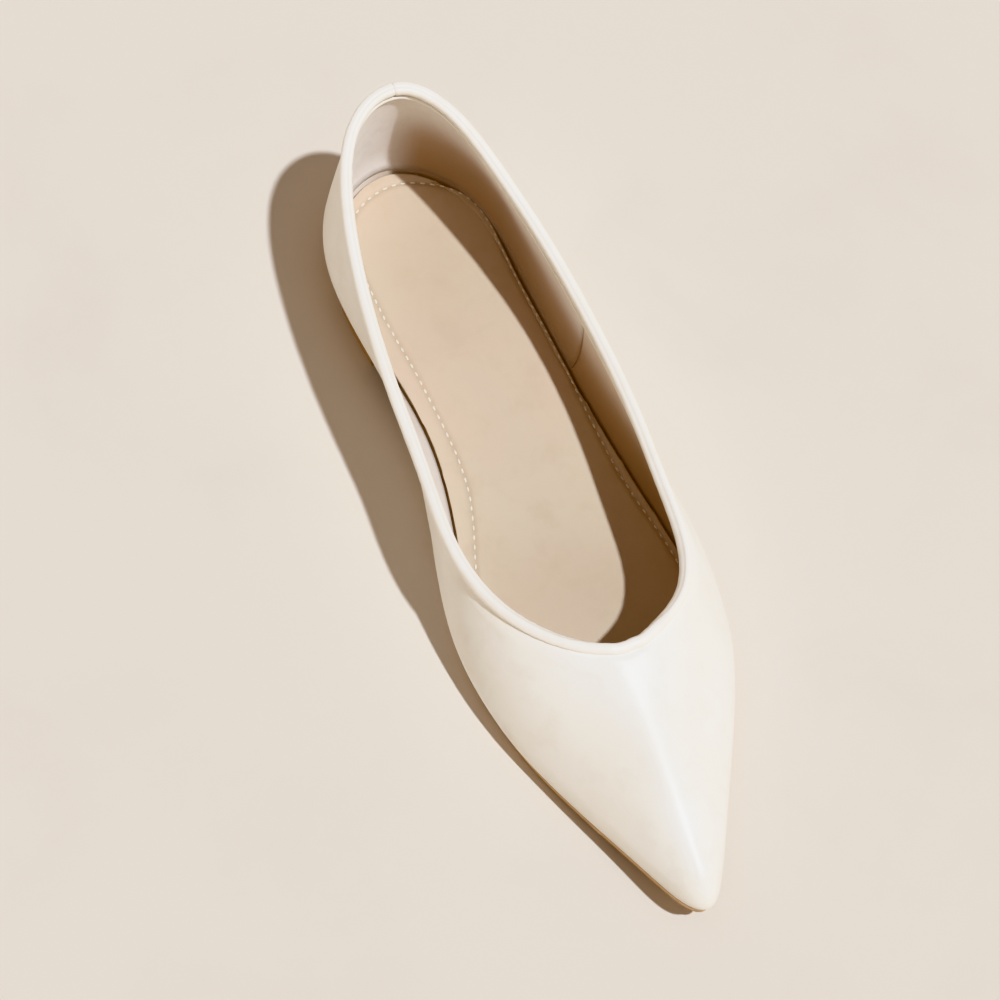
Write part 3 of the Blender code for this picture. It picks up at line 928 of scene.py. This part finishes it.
def makeStitches(look):
    tree = BVHTree.FromObject(insole, bpy.context.evaluated_depsgraph_get())
    points, directions = evenPoints(channel, look["pitch"])
    shape = bmesh.new()
    for point, direction in zip(points, directions):
        hit, normal, _, _ = tree.ray_cast(point + Vector((0, 0, look["probe"])), Vector((0, 0, -1)))
        if hit is None:
            continue
        side = normal.cross(direction).normalized()
        along = side.cross(normal).normalized()
        made = bmesh.ops.create_uvsphere(shape, u_segments=6, v_segments=5, radius=0.5)
        columns = (side * look["width"], normal * look["height"], along * look["length"])
        turned = Matrix(columns).transposed().to_4x4()
        turned.translation = hit + normal * look["height"] * look["proud"]
        bmesh.ops.transform(shape, matrix=turned, verts=made["verts"])
    bmesh.ops.recalc_face_normals(shape, faces=shape.faces[:])
    return shape


stitches = makePiece(makeStitches(stitchLook), "insoleStitches", [stitchThread])
print("stage: stitches,", len(stitches.data.polygons), "faces")


gripLook = {
    "reach": 86.0 * mm,  # how far forward it goes on each side
    "topDrop": 3.9 * mm, "bottomLift": 0.6 * mm, "rows": 18, "columns": 96,
    "probeInward": 8.0 * mm, "probeLift": 10.0 * mm, "floorHeight": 12.0 * mm, "wallInward": 2.0 * mm,
    "clear": 0.06 * mm, "thickness": 0.3 * mm,
    "shadeRise": (0.35, 1.0), "shadeSide": (-12.0 * mm, 2.0 * mm),  # painted shade, darker low down and on the inner side: shares of its height, and places across
}


def makeHeelGrip(look):
    # collar points from the medial front end, round the back, to the lateral front end
    behind = [i for i, p in enumerate(collarPoints) if p.y - cadLow.y < look["reach"]]
    start = next(i for i in behind if (i - 1) % len(collarPoints) not in behind)
    order = []
    number = start
    while number in behind:
        order.append(number)
        number = (number + 1) % len(collarPoints)
    tree = BVHTree.FromObject(upper, bpy.context.evaluated_depsgraph_get())
    insoleTree = BVHTree.FromObject(insole, bpy.context.evaluated_depsgraph_get())
    shape = bmesh.new()
    bmesh.ops.create_grid(shape, x_segments=look["columns"], y_segments=look["rows"], size=0.5)
    soilAndShade = addMask(shape, "soilAndShade")
    for vert in shape.verts:
        column = round((vert.co.x + 0.5) * look["columns"])
        row = round((vert.co.y + 0.5) * look["rows"])
        spot = column / look["columns"] * (len(order) - 1)
        first = min(int(spot), len(order) - 2)
        share = spot - first
        a, b = order[first], order[first + 1]
        point = collarPoints[a].lerp(collarPoints[b], share)
        outward = collarOut[a].lerp(collarOut[b], share).normalized()
        probe = point - outward * look["probeInward"] + Vector((0, 0, look["probeLift"]))
        floor = insoleTree.ray_cast(probe, Vector((0, 0, -1)))[0]
        low = (floor.z if floor is not None else look["floorHeight"]) + look["bottomLift"]
        high = point.z - look["topDrop"]
        height = low + (high - low) * row / look["rows"]
        hit, normal = wallHits(tree, point, outward, height)
        if hit is None:
            hit, normal = point - outward * look["wallInward"], -outward
        vert.co = hit + normal * look["clear"]
        # painted shade: darker low down and towards the inner side
        deep = 1.0 - between(*look["shadeRise"], row / look["rows"])
        vert[soilAndShade] = deep * (1.0 - between(*look["shadeSide"], vert.co.x))
    bmesh.ops.recalc_face_normals(shape, faces=shape.faces[:])
    shape.normal_update()
    middle = Vector((0.0, 0.02, 0.03))
    if sum(f.normal.dot(middle - f.calc_center_median()) for f in shape.faces) < 0:
        bmesh.ops.reverse_faces(shape, faces=shape.faces[:])
    shape.normal_update()
    bmesh.ops.solidify(shape, geom=shape.faces[:], thickness=-look["thickness"])
    shape.normal_update()
    return shape


grip = makePiece(makeHeelGrip(gripLook), "heelGrip", [heelGripSuede])
print("stage: heel grip,", len(grip.data.polygons), "faces")


soleLook = {
    "bevel": 0.45 * mm, "bevelSteps": 3, "sharp": 0.7, "facesDown": -0.8,
    "frameWidth": 1.1 * mm, "frameDepth": 0.25 * mm, "frameSlope": 0.3 * mm,
    "paintBelow": (1.08 * mm, 1.56 * mm),  # the lighter painted line is the upper part of the edge
    # the edge darker towards the bottom
    "soilAndShade": 0.6, "darkBelow": (2.0 * mm, 3.2 * mm),
}
heelLook = {**soleLook, "frameWidth": 2.2 * mm}


def makeSole(look, nodeName):
    shape = copyOf(nodeName)
    tread, paint, soilAndShade = addMask(shape, "tread"), addMask(shape, "paint"), addMask(shape, "soilAndShade")
    shape.normal_update()
    under = [f for f in shape.faces if f.normal.z < look["facesDown"]]
    bmesh.ops.inset_region(
        shape, faces=under, thickness=look["frameWidth"], depth=0.0, use_boundary=True,
        use_even_offset=True)
    bmesh.ops.inset_region(
        shape, faces=under, thickness=look["frameSlope"], depth=0.0, use_boundary=True,
        use_even_offset=False)
    field = {v for f in under for v in f.verts}
    bmesh.ops.translate(shape, vec=(0.0, 0.0, look["frameDepth"]), verts=list(field))
    for vert in field:
        vert[tread] = 1.0
    edges = [e for e in shape.edges if len(e.link_faces) == 2 and e.calc_face_angle() > look["sharp"]]
    bmesh.ops.bevel(
        shape, geom=edges, offset=look["bevel"], offset_type="OFFSET", segments=look["bevelSteps"],
        profile=0.5, affect="EDGES", material=-1, clamp_overlap=True)
    for vert in shape.verts:
        lift = solesTop(vert.co.y) - vert.co.z
        vert[paint] = 1.0 - between(*look["paintBelow"], lift)
        vert[soilAndShade] = look["soilAndShade"] * between(*look["darkBelow"], lift)
    return shape


outsole = makePiece(
    makeSole(soleLook, "outsole"), "outsoleRubber", [soleRubber], ["outsole"])
heel = makePiece(makeSole(heelLook, "heel"), "heelBlock", [heelRubber], ["heel"])
print("stage: outsole,", len(outsole.data.polygons), "faces, heel", len(heel.data.polygons))


stageLook = {
    "floorSize": 12.0, "floorColour": toLinear(228, 220, 211), "floorDark": toLinear(223, 214, 204),
    "floorScale": 3.0, "floorSpecks": 0.03, "floorRoughness": 0.85, "floorSpecular": 0.15,
    "keyDirection": (-0.222, 0.314, 0.923), "keyStrength": 2.89, "keyAngle": 2.0,
    "keyColour": (0.85, 0.93, 1.0),
    "horizonLight": (1.26, 1.07, 0.76), "overheadLight": (0.15, 0.095, 0.085),
    "fillRamp": (0.1, 0.7),  # heights in the sky where the one fades into the other
    "backdrop": toLinear(226, 218, 208),
}


def makeFloor(look):
    shape = bmesh.new()
    bmesh.ops.create_grid(shape, x_segments=4, y_segments=4, size=look["floorSize"] / 2)
    mesh = bpy.data.meshes.new("studioFloor")
    shape.to_mesh(mesh)
    shape.free()
    floor = addObject("studioFloor", mesh)
    material, tree, shader = newMaterial("paleFloor")
    colour = useGroup(
        tree, "mottle", Colour=look["floorColour"], Warm=look["floorColour"], Dark=look["floorDark"],
        Scale=look["floorScale"], Specks=look["floorSpecks"])
    tree.links.new(colour.outputs["Colour"], shader.inputs["Base Color"])
    shader.inputs["Roughness"].default_value = look["floorRoughness"]
    shader.inputs["Specular IOR Level"].default_value = look["floorSpecular"]
    mesh.materials.append(material)


def makeLights(look):
    lamp = bpy.data.lights.new("keyLight", "SUN")
    lamp.energy, lamp.color = look["keyStrength"], look["keyColour"]
    lamp.angle = math.radians(look["keyAngle"])
    key = addObject("keyLight", lamp)
    key.rotation_mode = "QUATERNION"
    key.rotation_quaternion = Vector(look["keyDirection"]).to_track_quat("Z", "Y")
    world = bpy.data.worlds.new("studio")
    world.use_nodes = True
    tree = world.node_tree
    sky = tree.nodes["Background"]
    direction = tree.nodes.new("ShaderNodeTexCoord")
    height = tree.nodes.new("ShaderNodeSeparateXYZ")
    ramp = addNode(tree, "ShaderNodeMapRange", From_Min=look["fillRamp"][0], From_Max=look["fillRamp"][1])
    tree.links.new(direction.outputs["Generated"], height.inputs[0])
    tree.links.new(height.outputs["Z"], ramp.inputs["Value"])
    light = mixColour(tree, ramp.outputs[0], (*look["horizonLight"], 1.0), (*look["overheadLight"], 1.0))
    path = tree.nodes.new("ShaderNodeLightPath")
    seen = mixColour(tree, path.outputs["Is Camera Ray"], light, look["backdrop"])
    tree.links.new(seen, sky.inputs["Color"])
    bpy.context.scene.world = world


cameraLook = {
    "place": (0.232484, 0.434470, 0.808416), "target": (0.003992, 0.084994, 0.0),
    "roll": 12.74664, "lens": 109.8557, "sensor": 36.0, "clip": (0.01, 50.0),
}


def makeCamera(look):
    data = bpy.data.cameras.new("photoCamera")
    data.lens, data.sensor_width, data.sensor_fit = look["lens"], look["sensor"], "HORIZONTAL"
    data.clip_start, data.clip_end = look["clip"]
    camera = addObject("photoCamera", data)
    camera.location = look["place"]
    camera.rotation_mode = "QUATERNION"
    ahead = Vector(look["target"]) - Vector(look["place"])
    turn = Quaternion((0.0, 0.0, 1.0), math.radians(look["roll"]))
    camera.rotation_quaternion = ahead.to_track_quat("-Z", "Y") @ turn
    bpy.context.scene.camera = camera


makeFloor(stageLook)
makeLights(stageLook)
makeCamera(cameraLook)
bpy.context.scene.view_settings.view_transform = "Khronos PBR Neutral"
print("stage: floor, lights and camera")

print("cad size mm", [round((b - a) / mm, 2) for a, b in zip(cadLow, cadHigh)])
